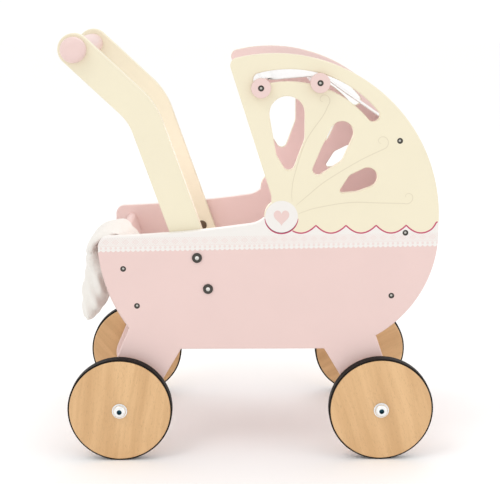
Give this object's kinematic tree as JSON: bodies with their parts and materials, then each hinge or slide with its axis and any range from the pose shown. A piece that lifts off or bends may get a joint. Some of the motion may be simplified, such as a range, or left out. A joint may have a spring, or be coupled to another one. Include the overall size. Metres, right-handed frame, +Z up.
{
  "type": "doll stroller",
  "caption": "Wooden doll's pram with a petal-cut hood, cloth canopy, bent handle arms, rubber-tyred wheels and soft bedding.",
  "frame": {"origin": "on the floor, under the middle of the pram's bounding box", "axes": "+X to the front, where the hood is; +Y to the pram's left; +Z up"},
  "size_m": [0.4417, 0.2958, 0.5024],
  "materials": {
    "painted_board": "satin pink and cream paint on wood board",
    "cream_paint": "satin cream paint on wood",
    "pink_paint": "satin pink paint on wood",
    "beech": "clear-lacquered light wood",
    "tyre_rubber": "plain black rubber",
    "zinc_steel": "zinc-plated steel",
    "dark_steel": "dark plated steel",
    "brass_bush": "turned brass",
    "white_cotton": "white cotton cloth",
    "quilt_cotton": "soft quilted off-white cotton"
  },
  "bodies": {
    "pram_body": {"side_panel_right": "painted_board", "handle_arm_right": "cream_paint", "handle_knob_right": "pink_paint", "side_panel_left": "painted_board", "handle_arm_left": "cream_paint", "handle_knob_left": "pink_paint", "wheel_bolts": "zinc_steel", "wheel_washers": "zinc_steel", "leg_nuts": "zinc_steel", "floor_board": "pink_paint", "rear_board": "pink_paint", "front_board": "pink_paint", "hood_rail": "pink_paint", "panel_screws": "dark_steel", "handle_rod": "pink_paint", "arm_bolts": "dark_steel", "arm_nuts": "zinc_steel", "canopy_cloth": "white_cotton", "mattress": "white_cotton", "pillow": "white_cotton", "duvet": "quilt_cotton"},
    "rear_right_wheel": {"wheel_rear_right": "beech", "tyre_rear_right": "tyre_rubber", "wheel_bush_rear_right": "brass_bush"},
    "rear_left_wheel": {"wheel_rear_left": "beech", "tyre_rear_left": "tyre_rubber", "wheel_bush_rear_left": "brass_bush"},
    "front_right_wheel": {"wheel_front_right": "beech", "tyre_front_right": "tyre_rubber", "wheel_bush_front_right": "brass_bush"},
    "front_left_wheel": {"wheel_front_left": "beech", "tyre_front_left": "tyre_rubber", "wheel_bush_front_left": "brass_bush"},
    "front_bow": {"canopy_bow_front": "pink_paint", "bow_knobs_front": "pink_paint", "bow_screws_front": "dark_steel", "canopy_hem": "white_cotton"},
    "middle_bow": {"canopy_bow_middle": "pink_paint", "bow_knobs_middle": "pink_paint", "bow_screws_middle": "dark_steel"}
  },
  "joints": [
    {"name": "rear_right_wheel_spin", "type": "hinge", "parent": "pram_body", "child": "rear_right_wheel", "pos_m": [-0.154, -0.1328, 0.062], "axis": [0, 1, 0], "continuous": true},
    {"name": "rear_left_wheel_spin", "type": "hinge", "parent": "pram_body", "child": "rear_left_wheel", "pos_m": [-0.154, 0.1328, 0.062], "axis": [0, 1, 0], "continuous": true},
    {"name": "front_right_wheel_spin", "type": "hinge", "parent": "pram_body", "child": "front_right_wheel", "pos_m": [0.156, -0.1328, 0.062], "axis": [0, 1, 0], "continuous": true},
    {"name": "front_left_wheel_spin", "type": "hinge", "parent": "pram_body", "child": "front_left_wheel", "pos_m": [0.156, 0.1328, 0.062], "axis": [0, 1, 0], "continuous": true},
    {"name": "front_bow_lift", "type": "slide", "parent": "pram_body", "child": "front_bow", "axis": [-0.2357, 0, 0.9718], "range_m": [0, 0.0095]},
    {"name": "middle_bow_track", "type": "hinge", "parent": "pram_body", "child": "middle_bow", "pos_m": [0.045, 0, 0.328], "axis": [0, 1, 0], "range_deg": [-21, 33]}
  ]
}
